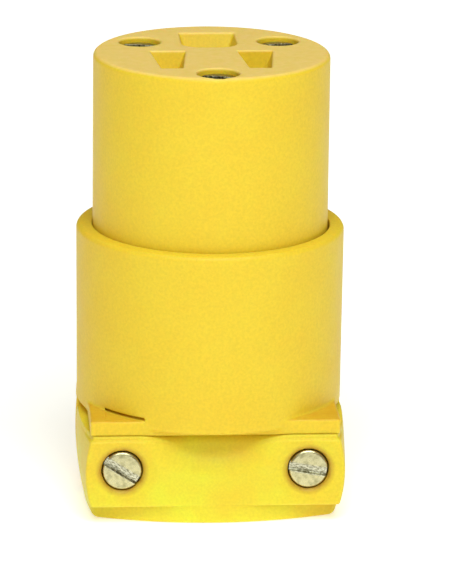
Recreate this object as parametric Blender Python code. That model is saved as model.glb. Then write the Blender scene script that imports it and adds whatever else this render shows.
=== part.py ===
"""Straight-blade cord connector, the female end of a shore-power or extension cord.

The cord clamp is at the bottom, on z = 0, and the slotted face is at the top. +Z runs along the
axis towards the face and -Y is the side with the two clamp screws. Lengths are in metres.
"""

import math

import bmesh
import bpy
from mathutils import Euler, Vector

for old in list(bpy.data.objects):
    bpy.data.objects.remove(old)

MM = 0.001
GAP = 0.3 * MM
PAST = 0.5 * MM

# Facets round a turned piece
SIDES_LARGE = 64
SIDES_CORD = 32
SIDES_SMALL = 24

# Front body: the yellow cylinder with the face
FACE_Z = 66.5 * MM
BODY_R = 17.25 * MM
BODY_FOOT_Z = 36.0 * MM
FACE_ROUND = 0.6 * MM

# Rear shell: the sleeve, its floor, the shoulders and the fixed half of the clamp
RIM_Z = 40.9 * MM
RIM_R = 19.65 * MM
RIM_ROUND = 0.8 * MM
SLEEVE_FOOT_R = 19.5 * MM
SLEEVE_FOOT_Z = 14.0 * MM
SLEEVE_BORE_R = BODY_R + GAP
FLOOR_Z = 17.0 * MM
SHOULDER_Z = (13.5 * MM, 15.6 * MM)
SHOULDER_X = 18.1 * MM
SHOULDER_Y = -16.7 * MM
SHOULDER_ROUND = 0.5 * MM
SLIT_HEIGHT = 0.35 * MM
SLIT_DEPTH = 0.8 * MM
SLIT_DEG = (-144.0, -122.0)
# Radius and height of the fixed clamp half: barrel-shaped, and ending inside the floor
BLOCK_LEVELS = [
    (18.7 * MM, 0.0),
    (19.2 * MM, 3.0 * MM),
    (19.5 * MM, 7.0 * MM),
    (19.5 * MM, 9.5 * MM),
    (19.3 * MM, 13.5 * MM),
    (19.3 * MM, 14.9 * MM),
]
BLOCK_PARTING_Y = 0.2 * MM

# Cord clamp: the loose jaw, and the passage between the two halves
JAW_FRONT_Y = -17.3 * MM
JAW_BACK_Y = -0.9 * MM
JAW_TOP_Z = SHOULDER_Z[0] - GAP
JAW_STEP_Z = 12.5 * MM
JAW_STEP = 0.4 * MM
JAW_WIDE_Z = 7.6 * MM
JAW_LIP_Z = 2.7 * MM
JAW_LIP_SETBACK = 2.8 * MM
JAW_CORNER = 0.4 * MM
JAW_FLARE_POWER = 2.5
CORD_R = 6.8 * MM
RIDGE_HEIGHT = 0.7 * MM
RIDGE_HALF = 0.5 * MM
RIDGE_Z = (3.6 * MM, 9.2 * MM)
JAW_HALF_FOOT = 17.0 * MM
JAW_HALF_LIP = 17.3 * MM
JAW_HALF_EDGE = 18.15 * MM
JAW_HALF_WIDE = 18.85 * MM
JAW_WIDE_SPAN = 2.0 * MM
JAW_HALF_TOP = 18.15 * MM
JAW_HALF_STEP = 17.85 * MM
JAW_BACK_FOOT = 18.6 * MM
JAW_BACK_LIP = 19.0 * MM
JAW_BACK_WIDE = 19.4 * MM
JAW_BACK_TOP = 19.25 * MM
SCOOP_HALF_WIDTH = 8.0 * MM
SCOOP_HEIGHT = 4.2 * MM
SCOOP_DEPTH = 1.3 * MM

# Clamp screws and nuts
CLAMP_X = 13.55 * MM
CLAMP_Z = 8.1 * MM
CLAMP_HEAD_SUNK = 0.3 * MM
CLAMP_SHANK = 22.2 * MM
CLAMP_BORE_R = 3.2 * MM
CLAMP_DISH_R = 4.1 * MM
CLAMP_DISH = 0.45 * MM
CLAMP_HOLE_END_Y = 9.5 * MM
CLAMP_SLOT_DEG = {"left": -33.0, "right": -10.0}
NUT_FLATS = 6.35 * MM
NUT_THICK = 2.4 * MM
NUT_Y = 2.8 * MM

# Size 6-32 screws: thread as a plain shank, its threaded hole, its clearance hole and its head
SIX_SHANK_R = 1.68 * MM
SIX_THREAD_R = 1.75 * MM
SIX_CLEAR_R = 2.0 * MM
SIX_HEAD_R = 2.87 * MM
SIX_HEAD_H = 2.1 * MM
SLOT_WIDTH = 1.2 * MM
SLOT_DEPTH = 0.95 * MM
HEAD_ROUND = 0.35 * MM

# Face screws, the bosses they reach and the threaded inserts in those
FACE_SCREW_R = {"front": 13.6 * MM, "right": 12.15 * MM, "left": 12.15 * MM}
FACE_SCREW_DEG = {"front": -90.0, "right": 33.4, "left": 146.6}
FACE_SLOT_DEG = {"front": -20.0, "right": 15.0, "left": 165.0}
FACE_HEAD_SUNK = 0.6 * MM
FACE_SHANK = 44.45 * MM
COUNTERBORE_R = 3.05 * MM
BOSS_R = 3.9 * MM
BOSS_TOP_Z = 30.0 * MM
BOSS_REACH = 18.6 * MM
BOSS_HOLE_FOOT_Z = 18.5 * MM
INSERT_R = 2.5 * MM
INSERT_H = 6.5 * MM

# Terminal block: the rigid insulator behind the front body
TERM_R = 16.9 * MM
TERM_FOOT_Z = 24.0 * MM
TERM_TOP_Z = BODY_FOOT_Z - GAP
POCKET_HALF = 4.1 * MM
TIP_HOLE_R = 2.4 * MM
TIP_HOLE_END = 4.9 * MM

# Contacts: a 15 A blade pair 12.7 mm apart, and a round ground pin behind them
BLADE_X = 6.35 * MM
BLADE_Y = -3.9 * MM
PIN_Y = 8.0 * MM
BLADE_HALF_GAP = 0.85 * MM
PIN_HALF_GAP = 2.45 * MM
LEAF = 0.8 * MM
LEAF_BASE_Z = 42.0 * MM
LEAF_BEND_Z = 57.0 * MM
LEAF_TOP_Z = 58.2 * MM
LEAF_FLARE = 0.6 * MM
TAB_INNER = 8.4 * MM
TAB_OUTER = 9.6 * MM
TAB_FOOT_Z = 25.2 * MM
CONTACT_WIDTH = {"hot": 6.4 * MM, "neutral": 7.4 * MM, "ground": 6.0 * MM}
SLOT_LENGTH = {"hot": 7.1 * MM, "neutral": 8.6 * MM}

# Openings in the face
WELL_DEPTH = 4.0 * MM
CAVITY_TOP_Z = 59.0 * MM
BLADE_SLOT_HALF = 1.0 * MM
BLADE_WELL_FAR = (2.65 * MM, 0.6 * MM)
BLADE_WELL_NEAR = (1.6 * MM, -10.4 * MM)
BLADE_CAVITY_X = (3.8 * MM, 9.9 * MM)
BLADE_CAVITY_HALF_Y = 4.5 * MM
PIN_WELL_HALF = 4.15 * MM
PIN_WELL_Y = (2.7 * MM, 12.4 * MM)
PIN_HOLE_HALF = 2.7 * MM
PIN_CAVITY_HALF = 3.6 * MM
PIN_CAVITY_Y = (4.1 * MM, 11.9 * MM)

# Terminal screws, size 8-32, and the plates they press on the wires
EIGHT_SHANK_R = 2.0 * MM
EIGHT_THREAD_R = 2.08 * MM
EIGHT_HEAD_R = 3.4 * MM
EIGHT_HEAD_H = 1.9 * MM
TERMINAL_Z = 29.8 * MM
TERMINAL_SHANK = 6.0 * MM
PLATE_HALF = 3.6 * MM
PLATE_THICK = 1.0 * MM
PLATE_HOLE_R = 2.5 * MM
WIRE_SPACE = 0.5 * MM

YELLOW_VINYL = (0.86, 0.62, 0.05)
DARK_PLASTIC = (0.035, 0.033, 0.032)
BRASS = (0.72, 0.50, 0.20)
STEEL = (0.56, 0.55, 0.50)
NICKEL = (0.70, 0.69, 0.65)
GROUND_GREEN = (0.05, 0.25, 0.10)


# Materials and meshes


def material(name, colour, roughness, metallic):
    made = bpy.data.materials.new(name)
    made.use_nodes = True
    shader = made.node_tree.nodes["Principled BSDF"]
    shader.inputs["Base Color"].default_value = (*colour, 1.0)
    shader.inputs["Roughness"].default_value = roughness
    shader.inputs["Metallic"].default_value = metallic
    return made


def stack(name, rings, looped=False):
    """A closed body through rings of points. It is capped at both ends, or looped into a tube."""
    mesh = bmesh.new()
    made = [[mesh.verts.new(point) for point in ring] for ring in rings]
    pairs = list(zip(made, made[1:] + made[:1])) if looped else list(zip(made, made[1:]))
    count = len(rings[0])
    for low, high in pairs:
        for i in range(count):
            j = (i + 1) % count
            mesh.faces.new((low[i], low[j], high[j], high[i]))
    if not looped:
        mesh.faces.new(made[0])
        mesh.faces.new(made[-1])
    bmesh.ops.recalc_face_normals(mesh, faces=mesh.faces)
    data = bpy.data.meshes.new(name)
    mesh.to_mesh(data)
    mesh.free()
    piece = bpy.data.objects.new(name, data)
    bpy.context.scene.collection.objects.link(piece)
    return piece


def circle(radius, z, sides, centre=(0.0, 0.0)):
    turns = [2 * math.pi * i / sides for i in range(sides)]
    return [
        (centre[0] + radius * math.cos(a), centre[1] + radius * math.sin(a), z) for a in turns
    ]


def turned(name, profile, sides):
    """A body turned about Z from (radius, height) points, capped flat at its first and last."""
    return stack(name, [circle(radius, z, sides) for radius, z in profile])


def washer(name, outline, hole_r, thickness, sides=SIDES_SMALL):
    """A plate of an outline given as radius by angle, with a round hole through it."""

    def rim(z):
        turns = [2 * math.pi * i / sides for i in range(sides)]
        return [(outline(a) * math.cos(a), outline(a) * math.sin(a), z) for a in turns]

    hole_low = circle(hole_r, 0.0, sides)
    hole_high = circle(hole_r, thickness, sides)
    return stack(name, [rim(0.0), rim(thickness), hole_high, hole_low], looped=True)


def prism(name, outline, low, high):
    """An outline in X and Y, extruded from one height to another."""
    return stack(name, [[(x, y, z) for x, y in outline] for z in (low, high)])


def box(name, low, high):
    outline = [(low[0], low[1]), (high[0], low[1]), (high[0], high[1]), (low[0], high[1])]
    return prism(name, outline, low[2], high[2])


def arc(centre, radius, start_deg, end_deg, steps):
    """Points along an arc in X and Y, both ends included."""
    turns = [math.radians(start_deg + (end_deg - start_deg) * i / steps) for i in range(steps + 1)]
    return [(centre[0] + radius * math.cos(a), centre[1] + radius * math.sin(a)) for a in turns]


def apply_tool(piece, tool, operation):
    tool.hide_render = True
    tool.display_type = "WIRE"
    modifier = piece.modifiers.new(tool.name, "BOOLEAN")
    modifier.operation = operation
    modifier.solver = "EXACT"
    modifier.object = tool


def cut(piece, *tools):
    for tool in tools:
        apply_tool(piece, tool, "DIFFERENCE")


def join(piece, *tools):
    for tool in tools:
        apply_tool(piece, tool, "UNION")


def finish(piece, look, smooth=True):
    piece.data.materials.append(look)
    if smooth:
        piece.data.shade_smooth()
        piece.data.set_sharp_from_angle(angle=math.radians(35))


# Directions of the screws, and pieces placed along them

TOWARDS_FACE = Euler((0.0, 0.0, 0.0))
TOWARDS_FRONT = Euler((math.radians(90), 0.0, 0.0))
OUTWARD = {
    "hot": Euler((math.radians(90), 0.0, math.radians(-90))),
    "neutral": Euler((math.radians(90), 0.0, math.radians(90))),
    "ground": Euler((math.radians(90), 0.0, math.radians(180))),
}
OUTWARD_VECTOR = {
    "hot": Vector((-1.0, 0.0, 0.0)),
    "neutral": Vector((1.0, 0.0, 0.0)),
    "ground": Vector((0.0, 1.0, 0.0)),
}
TERMINAL_OFFSET = {
    "hot": Vector((0.0, BLADE_Y, TERMINAL_Z)),
    "neutral": Vector((0.0, BLADE_Y, TERMINAL_Z)),
    "ground": Vector((0.0, 0.0, TERMINAL_Z)),
}


def place(piece, point, facing, turn_deg=0.0):
    """Put a piece's own +Z along a direction, after a turn about that +Z."""
    spin = Euler((0.0, 0.0, math.radians(turn_deg)))
    piece.location = point
    piece.rotation_euler = (facing.to_matrix() @ spin.to_matrix()).to_euler()


def outward_angle(pole):
    """How far a terminal's outward direction is turned from +X, about Z."""
    return math.atan2(OUTWARD_VECTOR[pole].y, OUTWARD_VECTOR[pole].x)


def terminal_point(pole, distance):
    """A point on a terminal screw's axis, this far out from the connector's own axis."""
    return OUTWARD_VECTOR[pole] * distance + TERMINAL_OFFSET[pole]


def face_screw_point(side, z):
    a = math.radians(FACE_SCREW_DEG[side])
    radius = FACE_SCREW_R[side]
    return Vector((radius * math.cos(a), radius * math.sin(a), z))


def slotted_screw(name, head_r, head_h, shank_r, length):
    """A slotted screw along Z, with the underside of its head at z = 0."""
    profile = [
        (shank_r - HEAD_ROUND, -length),
        (shank_r, HEAD_ROUND - length),
        (shank_r, 0.0),
        (head_r, 0.0),
        (head_r, head_h - HEAD_ROUND),
        (head_r - HEAD_ROUND, head_h),
    ]
    screw = turned(name, profile, SIDES_SMALL)
    low = (-head_r - PAST, -SLOT_WIDTH / 2, head_h - SLOT_DEPTH)
    high = (head_r + PAST, SLOT_WIDTH / 2, head_h + PAST)
    slot = box("cut_slot_" + name, low, high)
    slot.parent = screw
    cut(screw, slot)
    return screw


# The front body


def blade_opening(pole):
    """The well in the face and the slot under it, for one blade."""
    centre_x = BLADE_X * OUTWARD_VECTOR[pole].x
    half = SLOT_LENGTH[pole] / 2
    well_z = FACE_Z - WELL_DEPTH
    wide = [(-1, BLADE_WELL_FAR), (1, BLADE_WELL_FAR), (1, BLADE_WELL_NEAR), (-1, BLADE_WELL_NEAR)]
    ends = [(-1, half), (1, half), (1, -half), (-1, -half)]
    mouth = [(centre_x + side * corner[0], corner[1]) for side, corner in wide]
    slot = [(centre_x + side * BLADE_SLOT_HALF, BLADE_Y + end) for side, end in ends]
    rings = [
        [(x, y, CAVITY_TOP_Z - PAST) for x, y in slot],
        [(x, y, well_z) for x, y in slot],
        [(x, y, FACE_Z) for x, y in mouth],
        [(x, y, FACE_Z + PAST) for x, y in mouth],
    ]
    return stack("cut_blade_opening_" + pole, rings)


def blade_cavity(pole):
    side = OUTWARD_VECTOR[pole].x
    edges = sorted(side * x for x in BLADE_CAVITY_X)
    low = (edges[0], BLADE_Y - BLADE_CAVITY_HALF_Y, BODY_FOOT_Z - PAST)
    high = (edges[1], BLADE_Y + BLADE_CAVITY_HALF_Y, CAVITY_TOP_Z)
    return box("cut_blade_cavity_" + pole, low, high)


def pin_outline(half, near_y, far_y):
    """Flat on its far side and round on its near side, as a ground pin's hole is."""
    steps = 10
    round_y = (far_y - near_y) / 2
    points = [(half, far_y), (-half, far_y)]
    for i in range(steps + 1):
        a = math.pi + math.pi * i / steps
        points.append((half * math.cos(a), near_y + round_y + round_y * math.sin(a)))
    return points


def pin_opening():
    hole = pin_outline(PIN_HOLE_HALF, PIN_Y - PIN_HOLE_HALF, PIN_Y + PIN_HOLE_HALF)
    mouth = pin_outline(PIN_WELL_HALF, *PIN_WELL_Y)
    rings = [
        [(x, y, CAVITY_TOP_Z - PAST) for x, y in hole],
        [(x, y, FACE_Z - WELL_DEPTH) for x, y in hole],
        [(x, y, FACE_Z) for x, y in mouth],
        [(x, y, FACE_Z + PAST) for x, y in mouth],
    ]
    return stack("cut_pin_opening", rings)


def pin_cavity():
    low = (-PIN_CAVITY_HALF, PIN_CAVITY_Y[0], BODY_FOOT_Z - PAST)
    high = (PIN_CAVITY_HALF, PIN_CAVITY_Y[1], CAVITY_TOP_Z)
    return box("cut_pin_cavity", low, high)


def face_screw_hole(side):
    """A clearance hole with a counterbore for the head, from below the body to past the face."""
    floor_z = FACE_Z - FACE_HEAD_SUNK - SIX_HEAD_H - GAP
    profile = [
        (SIX_CLEAR_R, -PAST),
        (SIX_CLEAR_R, floor_z - BODY_FOOT_Z),
        (COUNTERBORE_R, floor_z - BODY_FOOT_Z),
        (COUNTERBORE_R, FACE_Z + PAST - BODY_FOOT_Z),
    ]
    hole = turned("cut_face_hole_" + side, profile, SIDES_SMALL)
    hole.location = face_screw_point(side, BODY_FOOT_Z)
    return hole


def make_front_body():
    edge = arc((BODY_R - FACE_ROUND, FACE_Z - FACE_ROUND), FACE_ROUND, 0, 90, 3)
    body = turned("front_body", [(BODY_R, BODY_FOOT_Z), *edge], SIDES_LARGE)
    cut(body, *[blade_cavity(pole) for pole in SLOT_LENGTH])
    cut(body, *[blade_opening(pole) for pole in SLOT_LENGTH])
    cut(body, pin_cavity(), pin_opening())
    cut(body, *[face_screw_hole(side) for side in FACE_SCREW_DEG])
    finish(body, material("front_body_vinyl", YELLOW_VINYL, 0.42, 0.0))


# The terminal block, which stands on the shell's bosses and closes the contact cavities


def boss_outline(side, radius, reach):
    """A boss seen along Z: round towards the axis, and straight outwards until it meets a wall."""
    inner = arc((FACE_SCREW_R[side], 0.0), radius, 90, 270, 12)
    return [*inner, (reach, -radius), (reach, radius)]


def boss_prism(name, side, radius, reach, low, high):
    piece = prism(name, boss_outline(side, radius, reach), low, high)
    piece.rotation_euler = (0.0, 0.0, math.radians(FACE_SCREW_DEG[side]))
    return piece


def terminal_pocket(pole):
    """The room for one terminal, open outwards and at both ends, and the screw tip's hole."""
    outline = [
        (TAB_INNER - GAP, -POCKET_HALF),
        (TERM_R + PAST, -POCKET_HALF),
        (TERM_R + PAST, POCKET_HALF),
        (TAB_INNER - GAP, POCKET_HALF),
    ]
    pocket = prism("cut_pocket_" + pole, outline, TERM_FOOT_Z - PAST, TERM_TOP_Z + PAST)
    pocket.rotation_euler = (0.0, 0.0, outward_angle(pole))
    pocket.location.y = TERMINAL_OFFSET[pole].y
    length = TAB_INNER - TIP_HOLE_END
    tip_hole = turned("cut_tip_" + pole, [(TIP_HOLE_R, 0.0), (TIP_HOLE_R, length)], SIDES_SMALL)
    place(tip_hole, terminal_point(pole, TIP_HOLE_END), OUTWARD[pole])
    return pocket, tip_hole


def make_terminal_block():
    profile = [(TERM_R, TERM_FOOT_Z), (TERM_R, TERM_TOP_Z)]
    block = turned("terminal_block", profile, SIDES_LARGE)
    for pole in CONTACT_WIDTH:
        cut(block, *terminal_pocket(pole))
    for side in FACE_SCREW_DEG:
        name = "cut_boss_notch_" + side
        radius = BOSS_R + GAP
        reach = BOSS_REACH + PAST
        notch = boss_prism(name, side, radius, reach, TERM_FOOT_Z - PAST, BOSS_TOP_Z + GAP)
        length = TERM_TOP_Z - BOSS_TOP_Z
        profile = [(SIX_CLEAR_R, 0.0), (SIX_CLEAR_R, length + PAST)]
        hole = turned("cut_block_hole_" + side, profile, SIDES_SMALL)
        hole.location = face_screw_point(side, BOSS_TOP_Z)
        cut(block, notch, hole)
    finish(block, material("terminal_block_plastic", DARK_PLASTIC, 0.5, 0.0))


# Contacts, pressure plates and terminal screws


def blade_contact_outline():
    """Two leaves that grip a blade, their base, and the tab down to the terminal."""
    inner = BLADE_X - BLADE_HALF_GAP
    outer = BLADE_X + BLADE_HALF_GAP
    base_top = LEAF_BASE_Z + LEAF
    return [
        (inner - LEAF, LEAF_BASE_Z),
        (TAB_INNER, LEAF_BASE_Z),
        (TAB_INNER, TAB_FOOT_Z),
        (TAB_OUTER, TAB_FOOT_Z),
        (TAB_OUTER, base_top),
        (outer + LEAF, base_top),
        (outer + LEAF, LEAF_BEND_Z),
        (outer + LEAF + LEAF_FLARE, LEAF_TOP_Z),
        (outer + LEAF_FLARE, LEAF_TOP_Z),
        (outer, LEAF_BEND_Z),
        (outer, base_top),
        (inner, base_top),
        (inner, LEAF_BEND_Z),
        (inner - LEAF_FLARE, LEAF_TOP_Z),
        (inner - LEAF - LEAF_FLARE, LEAF_TOP_Z),
        (inner - LEAF, LEAF_BEND_Z),
    ]


def pin_contact_outline():
    """Two leaves that grip the round pin, their base, and the tab down to the terminal."""
    inner = PIN_Y - PIN_HALF_GAP
    outer = PIN_Y + PIN_HALF_GAP
    base_top = LEAF_BASE_Z + LEAF
    return [
        (inner - LEAF, LEAF_BASE_Z),
        (TAB_INNER, LEAF_BASE_Z),
        (TAB_INNER, TAB_FOOT_Z),
        (TAB_OUTER, TAB_FOOT_Z),
        (TAB_OUTER, LEAF_BASE_Z),
        (outer + LEAF, LEAF_BASE_Z),
        (outer + LEAF, LEAF_TOP_Z),
        (outer, LEAF_TOP_Z),
        (outer, base_top),
        (inner, base_top),
        (inner, LEAF_TOP_Z),
        (inner - LEAF, LEAF_TOP_Z),
    ]


def make_contact(pole):
    outline = pin_contact_outline() if pole == "ground" else blade_contact_outline()
    half = CONTACT_WIDTH[pole] / 2
    rings = [[(out, across, z) for out, z in outline] for across in (-half, half)]
    contact = stack(pole + "_contact", rings)
    contact.rotation_euler = (0.0, 0.0, outward_angle(pole))
    contact.location.y = TERMINAL_OFFSET[pole].y
    length = TAB_OUTER - TAB_INNER + 2 * PAST
    profile = [(EIGHT_THREAD_R, 0.0), (EIGHT_THREAD_R, length)]
    hole = turned("cut_thread_" + pole, profile, SIDES_SMALL)
    place(hole, terminal_point(pole, TAB_INNER - PAST), OUTWARD[pole])
    cut(contact, hole)
    finish(contact, material(pole + "_contact_brass", BRASS, 0.3, 1.0), smooth=False)


def make_terminal(pole, screw_look):
    """The pressure plate and the screw that draws it to the contact's tab."""

    def square(a):
        return PLATE_HALF / max(abs(math.cos(a)), abs(math.sin(a)))

    plate = washer(pole + "_pressure_plate", square, PLATE_HOLE_R, PLATE_THICK)
    plate_foot = TAB_OUTER + WIRE_SPACE
    place(plate, terminal_point(pole, plate_foot), OUTWARD[pole])
    finish(plate, material(pole + "_plate_steel", STEEL, 0.38, 1.0))
    name = pole + "_terminal_screw"
    screw = slotted_screw(name, EIGHT_HEAD_R, EIGHT_HEAD_H, EIGHT_SHANK_R, TERMINAL_SHANK)
    place(screw, terminal_point(pole, plate_foot + PLATE_THICK + GAP), OUTWARD[pole])
    finish(screw, screw_look)


# Face screws and the inserts they thread into


def make_face_screw(side):
    name = "face_screw_" + side
    screw = slotted_screw(name, SIX_HEAD_R, SIX_HEAD_H, SIX_SHANK_R, FACE_SHANK)
    head_z = FACE_Z - FACE_HEAD_SUNK - SIX_HEAD_H
    place(screw, face_screw_point(side, head_z), TOWARDS_FACE, FACE_SLOT_DEG[side])
    finish(screw, material(name + "_steel", STEEL, 0.35, 1.0))
    insert = washer("shell_insert_" + side, lambda a: INSERT_R, SIX_THREAD_R, INSERT_H)
    insert.location = face_screw_point(side, BOSS_TOP_Z - INSERT_H)
    finish(insert, material("shell_insert_brass_" + side, BRASS, 0.35, 1.0))


# The rear shell and the cord clamp


def clamp_point(side, y):
    return Vector((CLAMP_X if side == "right" else -CLAMP_X, y, CLAMP_Z))


def cord_channel(name):
    """The cord's passage through both clamp halves, with ridges that bite the jacket."""
    profile = [(CORD_R, -PAST)]
    for z in RIDGE_Z:
        profile.append((CORD_R, z - RIDGE_HALF - RIDGE_HEIGHT))
        profile.append((CORD_R - RIDGE_HEIGHT, z - RIDGE_HALF))
        profile.append((CORD_R - RIDGE_HEIGHT, z + RIDGE_HALF))
        profile.append((CORD_R, z + RIDGE_HALF + RIDGE_HEIGHT))
    profile.append((CORD_R, FLOOR_Z + PAST))
    return turned(name, profile, SIDES_CORD)


def fixed_clamp_half():
    """The rear half of the clamp, a stack of half discs."""
    rings = []
    for radius, z in BLOCK_LEVELS:
        start = math.degrees(math.asin(BLOCK_PARTING_Y / radius))
        outline = arc((0.0, 0.0), radius, start, 180 - start, SIDES_LARGE // 2)
        rings.append([(x, y, z) for x, y in outline])
    return stack("join_clamp_half", rings)


def shoulders():
    """The plate in front of the sleeve, which the loose jaw sits under."""
    corner_x = SHOULDER_X - SHOULDER_ROUND
    corner_y = SHOULDER_Y + SHOULDER_ROUND
    outline = [
        (SHOULDER_X, BLOCK_PARTING_Y),
        (-SHOULDER_X, BLOCK_PARTING_Y),
        *arc((-corner_x, corner_y), SHOULDER_ROUND, 180, 270, 4),
        *arc((corner_x, corner_y), SHOULDER_ROUND, 270, 360, 4),
    ]
    return prism("join_shoulders", outline, *SHOULDER_Z)


def shoulder_slit():
    """The undercut where the sleeve meets the left shoulder."""
    inner_r = SLEEVE_FOOT_R - SLIT_DEPTH
    outer_r = SLEEVE_FOOT_R + 2 * SLIT_DEPTH
    steps = 10
    outline = arc((0.0, 0.0), outer_r, *SLIT_DEG, steps)
    outline += arc((0.0, 0.0), inner_r, *reversed(SLIT_DEG), steps)
    return prism("cut_slit", outline, SHOULDER_Z[1], SHOULDER_Z[1] + SLIT_HEIGHT)


def insert_hole(side):
    """A blind hole for one face screw, wider at its mouth for the insert."""
    pocket_z = BOSS_TOP_Z - INSERT_H - GAP
    profile = [
        (SIX_CLEAR_R, BOSS_HOLE_FOOT_Z),
        (SIX_CLEAR_R, pocket_z),
        (INSERT_R + GAP, pocket_z),
        (INSERT_R + GAP, BOSS_TOP_Z + PAST),
    ]
    hole = turned("cut_insert_hole_" + side, profile, SIDES_SMALL)
    hole.location = face_screw_point(side, 0.0)
    return hole


def nut_slot(side):
    """The slot that a clamp nut is slid up into from below."""
    centre = clamp_point(side, NUT_Y)
    half = NUT_FLATS / 2 + GAP
    top = CLAMP_Z + NUT_FLATS / math.sqrt(3) + GAP
    low = (centre.x - half, NUT_Y - GAP, -PAST)
    high = (centre.x + half, NUT_Y + NUT_THICK + GAP, top)
    return box("cut_nut_slot_" + side, low, high)


def clamp_hole(side):
    length = CLAMP_HOLE_END_Y - BLOCK_PARTING_Y + PAST
    profile = [(SIX_CLEAR_R, 0.0), (SIX_CLEAR_R, length)]
    hole = turned("cut_clamp_hole_" + side, profile, SIDES_SMALL)
    place(hole, clamp_point(side, CLAMP_HOLE_END_Y), TOWARDS_FRONT)
    return hole


def make_rear_shell():
    outer = arc((RIM_R - RIM_ROUND, RIM_Z - RIM_ROUND), RIM_ROUND, 0, 90, 3)
    profile = [
        (SLEEVE_FOOT_R, SLEEVE_FOOT_Z),
        *outer,
        (SLEEVE_BORE_R + GAP, RIM_Z),
        (SLEEVE_BORE_R, RIM_Z - GAP),
        (SLEEVE_BORE_R, FLOOR_Z),
    ]
    shell = turned("rear_shell", profile, SIDES_LARGE)
    join(shell, shoulders(), fixed_clamp_half())
    for side in FACE_SCREW_DEG:
        low = FLOOR_Z - PAST
        join(shell, boss_prism("join_boss_" + side, side, BOSS_R, BOSS_REACH, low, BOSS_TOP_Z))
        cut(shell, insert_hole(side))
    cut(shell, cord_channel("cut_cord_channel_shell"))
    cut(shell, shoulder_slit())
    for side in CLAMP_SLOT_DEG:
        cut(shell, nut_slot(side), clamp_hole(side))
    finish(shell, material("rear_shell_vinyl", YELLOW_VINYL, 0.42, 0.0))


def jaw_ring(half_x, back_x, front_y, setback, z):
    """One level of the jaw, wider at its straight back than at its front, which may be bowed."""
    steps = 12
    corner_x = half_x - JAW_CORNER
    corner_y = front_y + setback + JAW_CORNER
    side = []
    for i in range(steps):
        y = JAW_BACK_Y + (corner_y - JAW_BACK_Y) * i / steps
        share = (y / corner_y) ** JAW_FLARE_POWER
        side.append((back_x - (back_x - half_x) * share, y))
    points = [(-x, y) for x, y in side]
    points += arc((-corner_x, corner_y), JAW_CORNER, 180, 270, 4)
    for i in range(1, steps):
        x = corner_x * (2 * i / steps - 1)
        points.append((x, front_y + setback * (x / corner_x) ** 2))
    points += arc((corner_x, corner_y), JAW_CORNER, 270, 360, 4)
    points += reversed(side)
    return [(x, y, z) for x, y in points]


def jaw_scoop():
    """A shallow hollow in the jaw's front face, under the sleeve's overhang."""
    flat = 2 * SCOOP_DEPTH
    across = (SCOOP_HALF_WIDTH**2 + SCOOP_DEPTH**2) / flat
    rings = []
    steps = 40
    for i in range(1, steps):
        a = math.pi * i / steps - math.pi / 2
        rings.append(circle(across * math.cos(a), across * math.sin(a), SIDES_LARGE))
    scoop = stack("cut_scoop", rings)
    squeeze = SCOOP_HEIGHT / SCOOP_HALF_WIDTH
    for vertex in scoop.data.vertices:
        vertex.co.z *= squeeze
    scoop.location = (0.0, JAW_FRONT_Y + SCOOP_DEPTH - across, JAW_TOP_Z)
    return scoop


def jaw_screw_hole(side):
    """A clearance hole, the head's counterbore and a shallow dish round its mouth."""
    depth = CLAMP_HEAD_SUNK + SIX_HEAD_H + GAP
    back = JAW_BACK_Y - JAW_FRONT_Y
    profile = [
        (SIX_CLEAR_R, -back - PAST),
        (SIX_CLEAR_R, -depth),
        (CLAMP_BORE_R, -depth),
        (CLAMP_BORE_R, -CLAMP_DISH),
        (CLAMP_DISH_R, 0.0),
        (CLAMP_DISH_R, PAST),
    ]
    hole = turned("cut_jaw_hole_" + side, profile, SIDES_SMALL)
    place(hole, clamp_point(side, JAW_FRONT_Y), TOWARDS_FRONT)
    return hole


def make_clamp_jaw():
    step_y = JAW_FRONT_Y + JAW_STEP
    rings = [
        jaw_ring(JAW_HALF_FOOT, JAW_BACK_FOOT, JAW_FRONT_Y, JAW_LIP_SETBACK, 0.0),
        jaw_ring(JAW_HALF_LIP, JAW_BACK_LIP, JAW_FRONT_Y, JAW_LIP_SETBACK, JAW_LIP_Z),
        jaw_ring(JAW_HALF_EDGE, JAW_BACK_LIP, JAW_FRONT_Y, 0.0, JAW_LIP_Z + GAP),
        jaw_ring(JAW_HALF_WIDE, JAW_BACK_WIDE, JAW_FRONT_Y, 0.0, JAW_WIDE_Z - JAW_WIDE_SPAN),
        jaw_ring(JAW_HALF_WIDE, JAW_BACK_WIDE, JAW_FRONT_Y, 0.0, JAW_WIDE_Z + JAW_WIDE_SPAN),
        jaw_ring(JAW_HALF_TOP, JAW_BACK_TOP, JAW_FRONT_Y, 0.0, JAW_STEP_Z),
        jaw_ring(JAW_HALF_STEP, JAW_BACK_TOP, step_y, 0.0, JAW_STEP_Z + GAP / 2),
        jaw_ring(JAW_HALF_STEP, JAW_BACK_TOP, step_y, 0.0, JAW_TOP_Z),
    ]
    jaw = stack("clamp_jaw", rings)
    cut(jaw, cord_channel("cut_cord_channel_jaw"), jaw_scoop())
    cut(jaw, *[jaw_screw_hole(side) for side in CLAMP_SLOT_DEG])
    finish(jaw, material("clamp_jaw_vinyl", YELLOW_VINYL, 0.42, 0.0))


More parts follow.
